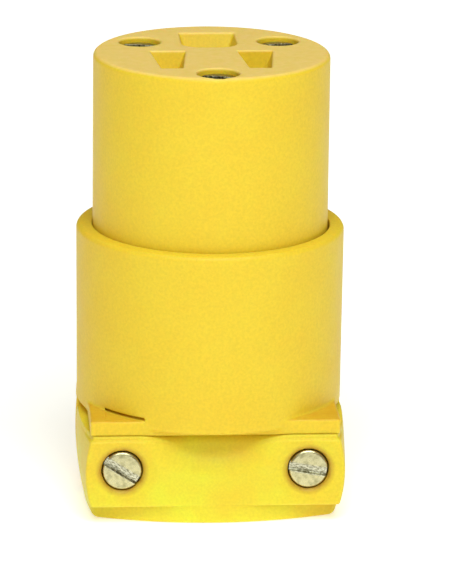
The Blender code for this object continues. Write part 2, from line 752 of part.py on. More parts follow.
def make_clamp_fastener(side):
    name = "clamp_screw_" + side
    screw = slotted_screw(name, SIX_HEAD_R, SIX_HEAD_H, SIX_SHANK_R, CLAMP_SHANK)
    head_y = JAW_FRONT_Y + CLAMP_HEAD_SUNK + SIX_HEAD_H
    place(screw, clamp_point(side, head_y), TOWARDS_FRONT, CLAMP_SLOT_DEG[side])
    finish(screw, material(name + "_steel", STEEL, 0.35, 1.0))

    def hexagon(a):
        turn = math.radians(60)
        return NUT_FLATS / 2 / math.cos((a + turn / 2) % turn - turn / 2)

    nut = washer("clamp_nut_" + side, hexagon, SIX_THREAD_R, NUT_THICK)
    place(nut, clamp_point(side, NUT_Y + NUT_THICK), TOWARDS_FRONT)
    finish(nut, material("clamp_nut_steel_" + side, STEEL, 0.4, 1.0))


make_rear_shell()
make_front_body()
make_terminal_block()
for pole_name in CONTACT_WIDTH:
    make_contact(pole_name)
make_terminal("hot", material("hot_screw_brass", BRASS, 0.3, 1.0))
make_terminal("neutral", material("neutral_screw_nickel", NICKEL, 0.25, 1.0))
make_terminal("ground", material("ground_screw_green", GROUND_GREEN, 0.35, 0.6))
for screw_side in FACE_SCREW_DEG:
    make_face_screw(screw_side)
make_clamp_jaw()
for clamp_side in CLAMP_SLOT_DEG:
    make_clamp_fastener(clamp_side)
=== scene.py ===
"""Looks for a straight-blade cord connector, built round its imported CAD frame.

Each visible piece is the zero surface of a field, a function of x, y and z that is negative inside
the solid and gives millimetres from its surface. Fields join and cut each other with rounded
edges, as moulded and machined parts have. A net of quads is drawn round the zero surface, pulled
onto it, thinned where it is flat, and shaded with the field's own slope.
"""

import math

import bpy
import numpy as np
from mathutils import Euler, Matrix, Vector


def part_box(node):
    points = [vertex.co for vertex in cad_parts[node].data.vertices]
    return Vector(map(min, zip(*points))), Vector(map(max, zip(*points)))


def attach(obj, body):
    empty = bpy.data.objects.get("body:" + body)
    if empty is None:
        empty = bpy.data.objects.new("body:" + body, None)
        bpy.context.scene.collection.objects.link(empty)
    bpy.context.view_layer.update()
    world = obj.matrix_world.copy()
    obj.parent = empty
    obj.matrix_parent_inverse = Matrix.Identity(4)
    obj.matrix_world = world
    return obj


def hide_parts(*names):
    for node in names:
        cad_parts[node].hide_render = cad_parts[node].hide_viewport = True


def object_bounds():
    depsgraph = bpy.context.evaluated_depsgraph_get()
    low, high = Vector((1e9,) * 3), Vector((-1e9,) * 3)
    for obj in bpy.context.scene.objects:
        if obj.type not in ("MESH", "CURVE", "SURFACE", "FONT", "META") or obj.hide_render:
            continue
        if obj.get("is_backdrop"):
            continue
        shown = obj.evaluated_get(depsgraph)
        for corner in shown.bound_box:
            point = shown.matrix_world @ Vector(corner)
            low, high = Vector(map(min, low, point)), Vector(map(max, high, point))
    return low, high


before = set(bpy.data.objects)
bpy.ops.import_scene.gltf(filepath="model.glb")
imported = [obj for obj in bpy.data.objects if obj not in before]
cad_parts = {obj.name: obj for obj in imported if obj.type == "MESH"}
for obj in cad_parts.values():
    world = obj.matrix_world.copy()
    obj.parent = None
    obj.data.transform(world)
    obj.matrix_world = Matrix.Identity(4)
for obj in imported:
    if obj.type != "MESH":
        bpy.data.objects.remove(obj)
CAD_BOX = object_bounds()

MM = 0.001


def cad_box(node):
    """A CAD node's lowest and highest corner, in millimetres."""
    low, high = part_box(node)
    return np.array(low) / MM, np.array(high) / MM


# Sizes in millimetres, from the CAD frame

BODY_LOW, BODY_HIGH = cad_box("front_body")
SHELL_LOW, SHELL_HIGH = cad_box("rear_shell")
JAW_LOW, JAW_HIGH = cad_box("clamp_jaw")
BLOCK_LOW, BLOCK_HIGH = cad_box("terminal_block")
CLAMP_LOW, CLAMP_HIGH = cad_box("clamp_screw_right")
FACE_SCREW_LOW, FACE_SCREW_HIGH = cad_box("face_screw_front")
FACE_SCREWS = {side: sum(cad_box(f"face_screw_{side}")) / 2 for side in ("front", "right", "left")}
TERMINAL_LOW, TERMINAL_HIGH = cad_box("ground_terminal_screw")
PLATE_FOOT_Y = cad_box("ground_pressure_plate")[0][1]
INSERT_LOW, INSERT_HIGH = cad_box("shell_insert_front")
NUT_LOW, NUT_HIGH = cad_box("clamp_nut_right")
BLADE_LOW, BLADE_HIGH = cad_box("neutral_contact")
PIN_LOW, PIN_HIGH = cad_box("ground_contact")

FACE_Z = BODY_HIGH[2]
BODY_R = BODY_HIGH[0]
BODY_FOOT_Z = BODY_LOW[2]
RIM_Z = SHELL_HIGH[2]
RIM_R = SHELL_HIGH[0]
BORE_R = BODY_R + 0.17
BORE_X = 0.1
GAP = 0.3
CLAMP_X = (CLAMP_LOW[0] + CLAMP_HIGH[0]) / 2
CLAMP_Z = (CLAMP_LOW[2] + CLAMP_HIGH[2]) / 2
BLADE_Y = (BLADE_LOW[1] + BLADE_HIGH[1]) / 2
BLADE_X = 6.35
PIN_Y = (PIN_LOW[1] + PIN_HIGH[1]) / 2
TERMINAL_Z = (TERMINAL_LOW[2] + TERMINAL_HIGH[2]) / 2

# Size 6-32 and 8-32 screws
SIX_HEAD_R = (CLAMP_HIGH[0] - CLAMP_LOW[0]) / 2
SIX_HEAD_H = 2.1
SIX_MAJOR_R = 1.72
SIX_CLEAR_R = 2.0
EIGHT_HEAD_R = (TERMINAL_HIGH[0] - TERMINAL_LOW[0]) / 2
EIGHT_HEAD_H = 1.9
EIGHT_MAJOR_R = 2.04
THREAD_PITCH = 0.79375
THREAD_DEPTH = 0.42
SLOT_WIDTH = 1.2
SLOT_DEPTH = 0.95


# Joining, cutting and rounding fields


def both(a, b, radius=0.0):
    """The solid that two fields share, with its new edge rounded."""
    if radius == 0.0:
        return np.maximum(a, b)
    corner = np.hypot(np.maximum(a + radius, 0), np.maximum(b + radius, 0))
    return np.minimum(np.maximum(a, b), -radius) + corner


def without(a, b, radius=0.0):
    """The first solid with the second cut out of it, and the lip of the cut rounded."""
    return both(a, -b, radius)


def either(a, b, radius=0.0):
    """Two solids joined, with a fillet where they meet."""
    return -both(-a, -b, radius)


def slab(value, low, high):
    """The space between two parallel planes."""
    return np.abs(value - (low + high) / 2) - (high - low) / 2


def ramp(value, low, high):
    """0 below low, 1 above high, and smooth between them."""
    t = np.clip((value - low) / (high - low), 0, 1)
    return t * t * (3 - 2 * t)


def turn_xy(x, y, degrees):
    """Coordinates along and across a direction in the XY plane."""
    a = math.radians(degrees)
    return x * math.cos(a) + y * math.sin(a), y * math.cos(a) - x * math.sin(a)


def from_face_screw(x, y, side):
    """The distance from a face screw's axis, and from the line that runs outwards from it."""
    centre_x, centre_y, _ = FACE_SCREWS[side]
    reach = math.hypot(centre_x, centre_y)
    out, across = turn_xy(x, y, math.degrees(math.atan2(centre_y, centre_x)))
    post = np.hypot(np.minimum(out - reach, 0), across)
    return np.hypot(out - reach, across), post


# From a field to a mesh

CORNERS = np.array([(i, j, k) for i in (0, 1) for j in (0, 1) for k in (0, 1)])
CELL_EDGES = [
    (a, b)
    for a in range(8)
    for b in range(a + 1, 8)
    if np.abs(CORNERS[a] - CORNERS[b]).sum() == 1
]
SLAB_SLICES = 8
SLOPE_STEP = 0.01
KEPT_SHARE = 0.35
WEAR_REACH = 0.35
WEAR_GAIN = 4.0


def sample(field, axes):
    """The field at every point of a grid, a few slices at a time."""
    x, y, z = [a.astype(np.float32) for a in axes]
    grid = np.empty((len(x), len(y), len(z)), np.float32)
    for start in range(0, len(x), SLAB_SLICES):
        part = slice(start, start + SLAB_SLICES)
        grid[part] = field(x[part, None, None], y[None, :, None], z[None, None, :])
    return grid


def crossing_points(grid, cells):
    """The mean of the places where each cell's edges cross zero, in grid steps."""
    total = np.zeros((len(cells), 3))
    count = np.zeros(len(cells))
    for a, b in CELL_EDGES:
        start = cells + CORNERS[a]
        value_a = grid[tuple(start.T)].astype(float)
        value_b = grid[tuple((cells + CORNERS[b]).T)].astype(float)
        crossed = (value_a < 0) != (value_b < 0)
        share = value_a / np.where(crossed, value_a - value_b, 1.0)
        step = share[:, None] * (CORNERS[b] - CORNERS[a])
        total += np.where(crossed[:, None], start + step, 0.0)
        count += crossed
    return total / count[:, None]


def net_faces(inside, number):
    """A quad round every grid edge that passes through the surface, facing out."""
    faces = []
    for k in range(3):
        u, v = (k + 1) % 3, (k + 2) % 3
        here = [slice(1, -1)] * 3
        ahead = [slice(1, -1)] * 3
        here[k], ahead[k] = slice(0, -1), slice(1, None)
        first = inside[tuple(here)]
        nodes = np.argwhere(first != inside[tuple(ahead)])
        leaving = first[tuple(nodes.T)]
        nodes[:, u] += 1
        nodes[:, v] += 1
        quad = []
        for du, dv in ((0, 0), (1, 0), (1, 1), (0, 1)):
            cell = nodes.copy()
            cell[:, u] -= du
            cell[:, v] -= dv
            quad.append(number[tuple(cell.T)])
        quad = np.stack(quad, 1)
        quad[~leaving] = quad[~leaving, ::-1]
        faces.append(quad)
    return np.concatenate(faces)


def slope(field, points):
    """The field's gradient at points."""
    parts = []
    for k in range(3):
        shift = np.zeros(3)
        shift[k] = SLOPE_STEP
        change = field(*(points + shift).T) - field(*(points - shift).T)
        parts.append(change / (2 * SLOPE_STEP))
    return np.stack(parts, 1)


def pull(field, points, reach):
    """Move points down the slope until they lie on the zero surface."""
    for _ in range(3):
        grade = slope(field, points)
        steep = np.maximum((grade**2).sum(1), 0.1)
        move = -(field(*points.T) / steep)[:, None] * grade
        length = np.linalg.norm(move, axis=1, keepdims=True)
        points = points + move * np.minimum(1.0, reach / np.maximum(length, 1e-9))
    return points


def mesh_from(name, points, faces):
    """A mesh of quads, from points in millimetres."""
    mesh = bpy.data.meshes.new(name)
    count = len(faces)
    mesh.vertices.add(len(points))
    mesh.vertices.foreach_set("co", (points * MM).astype(np.float32).ravel())
    mesh.loops.add(faces.size)
    mesh.loops.foreach_set("vertex_index", faces.astype(np.int32).ravel())
    mesh.polygons.add(count)
    mesh.polygons.foreach_set("loop_start", np.arange(count, dtype=np.int32) * faces.shape[1])
    mesh.update(calc_edges=True)
    return mesh


def thinned(mesh):
    """A copy of a mesh with fewer triangles: the curved places keep most of theirs."""
    helper = bpy.data.objects.new("thinning", mesh)
    bpy.context.scene.collection.objects.link(helper)
    modifier = helper.modifiers.new("thin", "DECIMATE")
    modifier.ratio = KEPT_SHARE
    graph = bpy.context.evaluated_depsgraph_get()
    made = bpy.data.meshes.new_from_object(helper.evaluated_get(graph))
    bpy.data.objects.remove(helper)
    return made


def vertex_points(mesh):
    """The places of a mesh's vertices, in millimetres."""
    flat = np.empty(len(mesh.vertices) * 3, np.float32)
    mesh.vertices.foreach_get("co", flat)
    return flat.reshape(-1, 3).astype(float) / MM


def edge_wear(field, points):
    """How convex the surface is at each point: above 0 on edges, below 0 in corners."""
    total = np.zeros(len(points))
    for k in range(3):
        for side in (-WEAR_REACH, WEAR_REACH):
            shift = np.zeros(3)
            shift[k] = side
            total += field(*(points + shift).T)
    return np.clip(total / 6 / WEAR_REACH * WEAR_GAIN, -1, 1)


def shaped(name, field, low, high, cell):
    """A mesh of the zero surface of a field, inside a box given in millimetres."""
    low, high = np.array(low, float), np.array(high, float)
    axes = [np.arange(a - 2 * cell, b + 2.5 * cell, cell) for a, b in zip(low, high)]
    grid = sample(field, axes)
    inside = grid < 0
    cut = [inside[tuple(slice(o, n - 1 + o) for o, n in zip(c, grid.shape))] for c in CORNERS]
    filled = sum(corner.astype(np.int8) for corner in cut)
    cells = np.argwhere((filled > 0) & (filled < 8))
    number = np.full(filled.shape, -1, np.int32)
    number[tuple(cells.T)] = np.arange(len(cells))
    start = np.array([a[0] for a in axes])
    points = pull(field, start + crossing_points(grid, cells) * cell, cell / 2)
    rough = mesh_from(name + "_net", points, net_faces(inside, number))
    mesh = thinned(rough)
    bpy.data.meshes.remove(rough)
    mesh.name = name
    points = pull(field, vertex_points(mesh), cell / 4)
    mesh.vertices.foreach_set("co", (points * MM).astype(np.float32).ravel())
    local = mesh.attributes.new("local", "FLOAT_VECTOR", "POINT")
    local.data.foreach_set("vector", points.astype(np.float32).ravel())
    wear = mesh.attributes.new("edge", "FLOAT", "POINT")
    wear.data.foreach_set("value", edge_wear(field, points).astype(np.float32))
    normals = slope(field, points)
    normals /= np.maximum(np.linalg.norm(normals, axis=1, keepdims=True), 1e-9)
    mesh.shade_smooth()
    mesh.normals_split_custom_set_from_vertices(normals.tolist())
    return mesh


def piece(name, mesh, body, slot, look, nodes=None, place=None):
    """An object for one mesh, riding on a CAD body and standing for a CAD node."""
    made = bpy.data.objects.new(name, mesh)
    bpy.context.scene.collection.objects.link(made)
    if place is not None:
        made.matrix_world = place
    if not mesh.materials:
        mesh.materials.append(look)
    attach(made, body)
    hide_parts(*(nodes or [name.removesuffix("_look")]))


# The front body

FACE_ROUND = 0.75
WELL_DEPTH = 4.0
WELL_LIP = 0.22
WELL_CORNER = 0.25
CAVITY_TOP_Z = FACE_Z - 7.5
WELL_FOOT_Z = CAVITY_TOP_Z - 1.0
BLADE_CAVITY_X = (BLADE_X - 2.55, BLADE_X + 3.55)
BLADE_CAVITY_HALF = 4.5
PIN_CAVITY_HALF = (3.6, 3.9)
BLADE_FAR = (2.65, 0.6)
BLADE_NEAR = (1.55, -10.4)
BLADE_SLOT_HALF = 1.0
BLADE_SLOT_LENGTH = {-1: 7.1, 1: 8.6}
PIN_WELL_HALF = 4.15
PIN_WELL_Y = (2.7, 12.4)
PIN_WELL_CORNER = 3.0
PIN_HOLE_HALF = 2.7
HEAD_SUNK = FACE_Z - FACE_SCREW_HIGH[2]
COUNTERBORE_R = 3.05


def blade_well(x, y, z, side):
    """A well that funnels a blade from its wide mouth in the face down to the slot."""
    depth = np.clip((FACE_Z - z) / WELL_DEPTH, 0, 1)
    along = np.clip((y - BLADE_NEAR[1]) / (BLADE_FAR[1] - BLADE_NEAR[1]), 0, 1)
    mouth_half = BLADE_NEAR[0] + (BLADE_FAR[0] - BLADE_NEAR[0]) * along
    half = mouth_half + (BLADE_SLOT_HALF - mouth_half) * depth
    slot_half = BLADE_SLOT_LENGTH[side] / 2
    far = BLADE_FAR[1] + (BLADE_Y + slot_half - BLADE_FAR[1]) * depth
    near = BLADE_NEAR[1] + (BLADE_Y - slot_half - BLADE_NEAR[1]) * depth
    across = np.abs(x - side * BLADE_X) - half
    well = both(across, slab(y, near, far), WELL_CORNER)
    return both(well, WELL_FOOT_Z - z)


def pin_well(x, y, z):
    """The ground pin's well: flat on its far side, with round near corners, over a round hole."""
    depth = np.clip((FACE_Z - z) / WELL_DEPTH, 0, 1)
    half = PIN_WELL_HALF + (PIN_HOLE_HALF - PIN_WELL_HALF) * depth
    far = PIN_WELL_Y[1] + (PIN_Y + PIN_HOLE_HALF - PIN_WELL_Y[1]) * depth
    near = PIN_WELL_Y[0] + (PIN_Y - PIN_HOLE_HALF - PIN_WELL_Y[0]) * depth
    corner = PIN_WELL_CORNER - 0.35 * depth
    side = np.maximum(np.abs(x) - (half - corner), 0)
    front = np.maximum(near + corner - y, 0)
    hull = np.maximum(np.abs(x) - half, near - y)
    curved = np.where((side > 0) & (front > 0), np.hypot(side, front) - corner, hull)
    well = both(curved, y - far, 0.3)
    return both(well, WELL_FOOT_Z - z)


def contact_cavities(x, y, z):
    """The rooms in which the contacts stand, open at the body's foot."""
    blades = both(slab(np.abs(x), *BLADE_CAVITY_X), np.abs(y - BLADE_Y) - BLADE_CAVITY_HALF, 0.4)
    pin = both(np.abs(x) - PIN_CAVITY_HALF[0], np.abs(y - PIN_Y) - PIN_CAVITY_HALF[1], 0.6)
    ceiling = z - CAVITY_TOP_Z
    return np.minimum(both(blades, ceiling, 0.4), both(pin, ceiling, 0.4))


def front_body_field(x, y, z):
    """The upper cylinder, with its face's wells and the holes for the face screws."""
    radius = np.hypot(x, y)
    solid = both(both(radius - BODY_R, z - FACE_Z, FACE_ROUND), BODY_FOOT_Z - z, 0.3)
    solid = without(solid, contact_cavities(x, y, z), 0.2)
    for side in BLADE_SLOT_LENGTH:
        solid = without(solid, blade_well(x, y, z, side), WELL_LIP)
    solid = without(solid, pin_well(x, y, z), WELL_LIP)
    floor_z = FACE_Z - HEAD_SUNK - SIX_HEAD_H - GAP
    for side in FACE_SCREWS:
        axis, _ = from_face_screw(x, y, side)
        solid = without(solid, both(axis - COUNTERBORE_R, floor_z - z, 0.2), 0.3)
        solid = without(solid, axis - SIX_CLEAR_R, 0.15)
    return solid


# The rear shell: sleeve, bosses, shoulders and the fixed half of the clamp

SLEEVE_FOOT_R = 19.5
SLEEVE_FOOT_Z = 14.2
FLOOR_Z = 17.0
SHOULDER_TOP_Z = 15.6
# The CAD leaves the jaw a running gap of 0.3 mm under the shoulders; the looks all but close it
SHOULDER_FOOT_Z = 13.36
SHOULDER_X = 18.15
SHOULDER_Y = -16.7
BLOCK_WIDE_Z = 10.0
BLOCK_BARREL = 0.011
PARTING_Y = 0.2
BOSS_R = 3.9
BOSS_TOP_Z = 30.0
CORD_R = 6.8
RIDGES_Z = (3.6, 9.2)
RIDGE_HEIGHT = 0.7
SLIT_R = (18.7, 22.0)
SLIT_X = (-15.8, -10.3)
SLIT_BACK_Y = -4.2
SLIT_Z = (SHOULDER_TOP_Z - 0.05, SHOULDER_TOP_Z + 0.35)
INSERT_POCKET_R = 2.8
FACE_SCREW_HOLE_FOOT_Z = 18.5
CLAMP_HOLE_END_Y = 9.5
NUT_ACROSS = 6.35


def cord_channel(x, y, z):
    """The cord's passage: two ridges bite the jacket, and its mouth flares."""
    ridge = 0.0
    for ridge_z in RIDGES_Z:
        ridge = ridge + RIDGE_HEIGHT * (1 - ramp(np.abs(z - ridge_z), 0.35, 1.25))
    flare = RIDGE_HEIGHT * (1 - ramp(z, 0.0, 1.2))
    return np.hypot(x, y) - (CORD_R - ridge + flare)


def sleeve(x, y, z, radius):
    """The sleeve, whose bore sits a little to the right, as the gap round the front body shows."""
    share = np.clip((z - SLEEVE_FOOT_Z) / (RIM_Z - SLEEVE_FOOT_Z), 0, 1)
    outer = radius - (SLEEVE_FOOT_R + (RIM_R - SLEEVE_FOOT_R) * share)
    solid = both(outer, z - RIM_Z, 0.75)
    solid = both(solid, SLEEVE_FOOT_Z - z, 0.5)
    bore = both(np.hypot(x - BORE_X, y) - BORE_R, FLOOR_Z - z, 0.8)
    return without(solid, bore, 0.2)


def bosses(x, y, z, radius):
    """Three posts for the face screws, joined to the sleeve's wall."""
    solid = None
    for side in FACE_SCREWS:
        post = from_face_screw(x, y, side)[1] - BOSS_R
        solid = post if solid is None else np.minimum(solid, post)
    solid = both(solid, z - BOSS_TOP_Z, 0.3)
    return np.maximum(np.maximum(solid, radius - SLEEVE_FOOT_R + 0.6), FLOOR_Z - 0.5 - z)


def shoulders(x, y, z):
    """The square ledge that the sleeve's foot stands on, over the loose jaw."""
    plan = both(np.abs(x) - SHOULDER_X, SHOULDER_Y - y, 0.45)
    plan = np.maximum(plan, y - PARTING_Y)
    return np.maximum(both(plan, z - SHOULDER_TOP_Z, 0.3), SHOULDER_FOOT_Z - z)


def shoulder_foot(y, z):
    """The flat underside over the loose jaw."""
    return np.minimum(SHOULDER_FOOT_Z - z, PARTING_Y - y)


def fixed_half(y, z, radius):
    """The clamp's rear half, barrelled outside."""
    barrel = radius - (RIM_R + 0.05 - BLOCK_BARREL * (z - BLOCK_WIDE_Z) ** 2)
    solid = both(barrel, -z, 0.6)
    solid = both(solid, PARTING_Y - y, 0.35)
    return np.maximum(solid, z - SLEEVE_FOOT_Z - 1.5)


def shoulder_slit(x, y, z, radius):
    """The undercut between the sleeve's foot and the left shoulder."""
    ring = both(slab(radius, *SLIT_R), slab(x, *SLIT_X))
    ring = both(ring, y - SLIT_BACK_Y)
    return both(ring, slab(z, *SLIT_Z), 0.1)


def insert_holes(x, y, z):
    """Pockets for the threaded inserts, and clearance for the face screws below them."""
    solid = None
    for side in FACE_SCREWS:
        axis, _ = from_face_screw(x, y, side)
        pocket = both(axis - INSERT_POCKET_R, INSERT_LOW[2] - GAP - z)
        hole = np.minimum(pocket, both(axis - SIX_CLEAR_R, FACE_SCREW_HOLE_FOOT_Z - z))
        solid = hole if solid is None else np.minimum(solid, hole)
    return solid


def clamp_fastener_holes(x, y, z):
    """Holes for the clamp screws, and the slots their nuts slide up into."""
    across = np.abs(x) - CLAMP_X
    hole = both(np.hypot(across, z - CLAMP_Z) - SIX_CLEAR_R, y - CLAMP_HOLE_END_Y, 0.4)
    thick = slab(y, NUT_LOW[1] - GAP, NUT_HIGH[1] + GAP)
    slot = both(np.abs(across) - NUT_ACROSS / 2 - GAP, thick, 0.15)
    slot = both(slot, z - NUT_HIGH[2] - GAP, 0.3)
    return np.minimum(hole, slot)


def rear_shell_field(x, y, z):
    """Sleeve, bosses, shoulders and fixed clamp half in one moulding."""
    radius = np.hypot(x, y)
    solid = either(sleeve(x, y, z, radius), bosses(x, y, z, radius), 0.5)
    solid = either(solid, fixed_half(y, z, radius), 0.5)
    solid = np.maximum(either(solid, shoulders(x, y, z), 0.5), shoulder_foot(y, z))
    solid = without(solid, shoulder_slit(x, y, z, radius), 0.15)
    solid = without(solid, insert_holes(x, y, z), 0.2)
    solid = without(solid, clamp_fastener_holes(x, y, z), 0.25)
    return without(solid, cord_channel(x, y, z), 0.4)


# The clamp's loose jaw

JAW_FRONT_Y = JAW_LOW[1]
# Higher than the CAD's, to meet the looks' shoulders
JAW_TOP_Z = JAW_HIGH[2] + 0.14
JAW_BACK_Y = JAW_HIGH[1]
JAW_WIDE = 18.85
JAW_WIDE_Z = 7.6
JAW_STEP_Z = 12.7
JAW_STEP = 0.3
JAW_STEP_SETBACK = 0.4
JAW_CORNER = 0.4
LIP_Z = 2.7
LIP_SETBACK = 3.9
SCOOP = (8.6, 2.3, 4.4)
DISH = 0.4
DISH_REACH = (3.2, 5.3)
CLAMP_BORE_R = 3.02
BORE_MOUTH = 0.35


def jaw_scoop(x, y, z):
    """A shallow hollow in the front face, under the sleeve's overhang."""
    half, depth, height = SCOOP
    ball = (half**2 + depth**2) / (2 * depth)
    centre_y = JAW_FRONT_Y + depth - ball
    lifted = (z - JAW_TOP_Z) * half / height
    return (np.sqrt(x**2 + (y - centre_y) ** 2 + lifted**2) - ball) * 0.8


def jaw_side(x, y, front_half, back_half):
    """The jaw's side, which flares from its front corner back to the fixed half's barrel."""
    share = np.clip(y / JAW_FRONT_Y, 0, 1) ** 2.5
    return np.abs(x) - back_half + (back_half - front_half) * share


def jaw_field(x, y, z):
    """The jaw: a plate with a step above it, a bowed lip below it, and two screw holes."""
    across = np.hypot(np.abs(x) - CLAMP_X, z - CLAMP_Z)
    back = RIM_R - 0.05 - BLOCK_BARREL * (z - BLOCK_WIDE_Z) ** 2
    wide = JAW_WIDE - 0.03 * (z - JAW_WIDE_Z) ** 2
    front = JAW_FRONT_Y + DISH * (1 - ramp(across, *DISH_REACH))
    plan = both(jaw_side(x, y, wide, back), front - y, JAW_CORNER)
    narrow = jaw_side(x, y, wide - JAW_STEP, back)
    step = both(narrow, JAW_FRONT_Y + JAW_STEP_SETBACK - y, JAW_CORNER)
    bow = LIP_SETBACK * (x / JAW_WIDE) ** 2
    lip = both(narrow, JAW_FRONT_Y + bow - y, 0.7)
    main = both(both(plan, z - JAW_STEP_Z, 0.3), LIP_Z - z, 0.25)
    step = both(step, slab(z, LIP_Z + 1.0, JAW_TOP_Z), 0.05)
    solid = either(main, step, 0.15)
    solid = either(solid, both(lip, -z, 0.7), 0.15)
    solid = np.maximum(solid, -z)
    solid = np.maximum(solid, z - JAW_TOP_Z)
    solid = without(solid, jaw_scoop(x, y, z), 1.6)
    solid = both(solid, y - JAW_BACK_Y, 0.3)
    depth = CLAMP_LOW[1] + SIX_HEAD_H + GAP
    mouth = (across - CLAMP_BORE_R - np.clip(front + BORE_MOUTH - y, 0, 2)) * 0.7
    solid = without(solid, both(mouth, y - depth, 0.2), 0.25)
    solid = without(solid, across - SIX_CLEAR_R, 0.15)
    return without(solid, cord_channel(x, y, z), 0.4)


# Screws, along Z with the underside of the head at z = 0


def thread(x, y, z, major, length):
    """A shank with a helical thread, a run-out under the head and a pointed start."""
    turn = np.arctan2(y, x) / (2 * math.pi)
    phase = np.mod(z / THREAD_PITCH - turn, 1.0)
    groove = THREAD_DEPTH * np.clip(2.2 * (0.5 - np.abs(phase - 0.5)), 0, 1)
    groove = groove * (1 - ramp(z, -1.6, -0.8))
    radius = np.hypot(x, y)
    shank = (radius - (major - groove)) * 0.75
    shank = both(shank, (radius - major - z - length + 0.7) * 0.7, 0.1)
    return both(shank, -length - z, 0.15)


def slotted_screw(head_r, head_h, major, length):
    """The field of a slotted screw with a slightly domed head."""

    def field(x, y, z):
        radius = np.hypot(x, y)
        top = z - head_h + 0.14 * (radius / head_r) ** 2
        head = both(both(radius - head_r, top, 0.4), -z, 0.12)
        slot = both(np.abs(y) - SLOT_WIDTH / 2, head_h - SLOT_DEPTH - z, 0.1)
        head = without(head, slot, 0.07)
        shank = np.maximum(thread(x, y, z, major, length), z - head_h / 2)
        return either(head, shank, 0.15)

    return field


def six_screw_mesh(name, length, cell):
    """A size 6-32 screw."""
    reach = SIX_HEAD_R + 0.1
    field = slotted_screw(SIX_HEAD_R, SIX_HEAD_H, SIX_MAJOR_R, length)
    return shaped(name, field, (-reach, -reach, -length), (reach, reach, SIX_HEAD_H), cell)


# The inner pieces

POCKET_HALF = 4.1
POCKET_FLOOR = 8.1
TIP_HOLE_R = 2.4
TIP_HOLE_END = 4.9
LEAF = 0.8
BLADE_GRIP_HALF = 0.85
PIN_GRIP_HALF = 2.45
TAB_MIDDLE = 9.0
TAB_THICK = 1.2
TAB_HOLE_R = 2.08
BASE_Z = BLADE_HIGH[2] - 15.8
BEND_Z = BLADE_HIGH[2] - 1.2
CONTACT_WIDTH = {"hot": 6.4, "neutral": 7.4, "ground": 6.0}
CONTACT_REACH = (3.0, 12.0)
PLATE_HALF = 3.6
PLATE_THICK = 1.0
PLATE_HOLE_R = 2.5
RIB_PITCH = 0.9
INSERT_R = 2.5
INSERT_BORE_R = 1.78
INSERT_HEIGHT = INSERT_HIGH[2] - INSERT_LOW[2]
KNURLS = 26
NUT_THICK = NUT_HIGH[1] - NUT_LOW[1]
NUT_BORE_R = 1.75


def block_field(x, y, z):
    """The terminal block, with a pocket for each terminal and notches for the shell's bosses."""
    radius = np.hypot(x, y)
    solid = both(radius - BLOCK_HIGH[0], slab(z, BLOCK_LOW[2], BLOCK_HIGH[2]), 0.3)
    for degrees, offset in ((180.0, BLADE_Y), (0.0, BLADE_Y), (90.0, 0.0)):
        out, across = turn_xy(x, y - offset, degrees)
        pocket = both(np.abs(across) - POCKET_HALF, POCKET_FLOOR - out, 0.25)
        solid = without(solid, pocket, 0.25)
        tip = both(np.hypot(across, z - TERMINAL_Z) - TIP_HOLE_R, TIP_HOLE_END - out)
        solid = without(solid, tip, 0.15)
    for side in FACE_SCREWS:
        axis, post = from_face_screw(x, y, side)
        notch = both(post - BOSS_R - GAP, z - BOSS_TOP_Z - GAP, 0.2)
        solid = without(solid, notch, 0.25)
        solid = without(solid, axis - SIX_CLEAR_R, 0.15)
    return solid


def strip(u, v, path, thickness):
    """A bent strip seen from its edge: everything within half its thickness of a path."""
    nearest = None
    for (u0, v0), (u1, v1) in zip(path, path[1:]):
        du, dv = u1 - u0, v1 - v0
        share = np.clip(((u - u0) * du + (v - v0) * dv) / (du * du + dv * dv), 0, 1)
        away = np.hypot(u - u0 - share * du, v - v0 - share * dv)
        nearest = away if nearest is None else np.minimum(nearest, away)
    return nearest - thickness / 2


def blade_contact(width):
    """The field of a contact: two leaves that grip a blade, their base, and a tab to the terminal."""
    inner = BLADE_X - BLADE_GRIP_HALF - LEAF / 2
    outer = BLADE_X + BLADE_GRIP_HALF + LEAF / 2
    top = BLADE_HIGH[2] - LEAF / 2
    leaves = [(inner - 0.6, top), (inner, BEND_Z), (inner, BASE_Z), (outer, BASE_Z)]
    leaves += [(outer, BEND_Z), (outer + 0.6, top)]
    tab = [(outer, BASE_Z), (TAB_MIDDLE, BASE_Z), (TAB_MIDDLE, BLADE_LOW[2] + 0.6)]

    def field(x, y, z):
        solid = np.minimum(strip(x, z, leaves, LEAF), strip(x, z, tab, TAB_THICK))
        solid = both(solid, np.abs(y) - width / 2, 0.15)
        hole = np.hypot(y, z - TERMINAL_Z) - TAB_HOLE_R
        return without(solid, np.maximum(hole, TAB_MIDDLE - 2.0 - x), 0.12)

    return field


def pin_contact_field(x, y, z):
    """The same for the round ground pin, with its leaves along X here and its tab beyond them."""
    inner = PIN_Y - PIN_GRIP_HALF - LEAF / 2
    outer = PIN_Y + PIN_GRIP_HALF + LEAF / 2
    top = PIN_HIGH[2] - LEAF / 2
    leaves = [(inner, top), (inner, BASE_Z), (outer, BASE_Z), (outer, top)]
    tab = [(TAB_MIDDLE, BASE_Z), (TAB_MIDDLE, PIN_LOW[2] + 0.6)]
    solid = np.minimum(strip(x, z, leaves, LEAF), strip(x, z, tab, TAB_THICK))
    solid = both(solid, np.abs(y) - CONTACT_WIDTH["ground"] / 2, 0.15)
    hole = np.maximum(np.hypot(y, z - TERMINAL_Z) - TAB_HOLE_R, np.abs(x - TAB_MIDDLE) - 1.0)
    return without(solid, hole, 0.12)


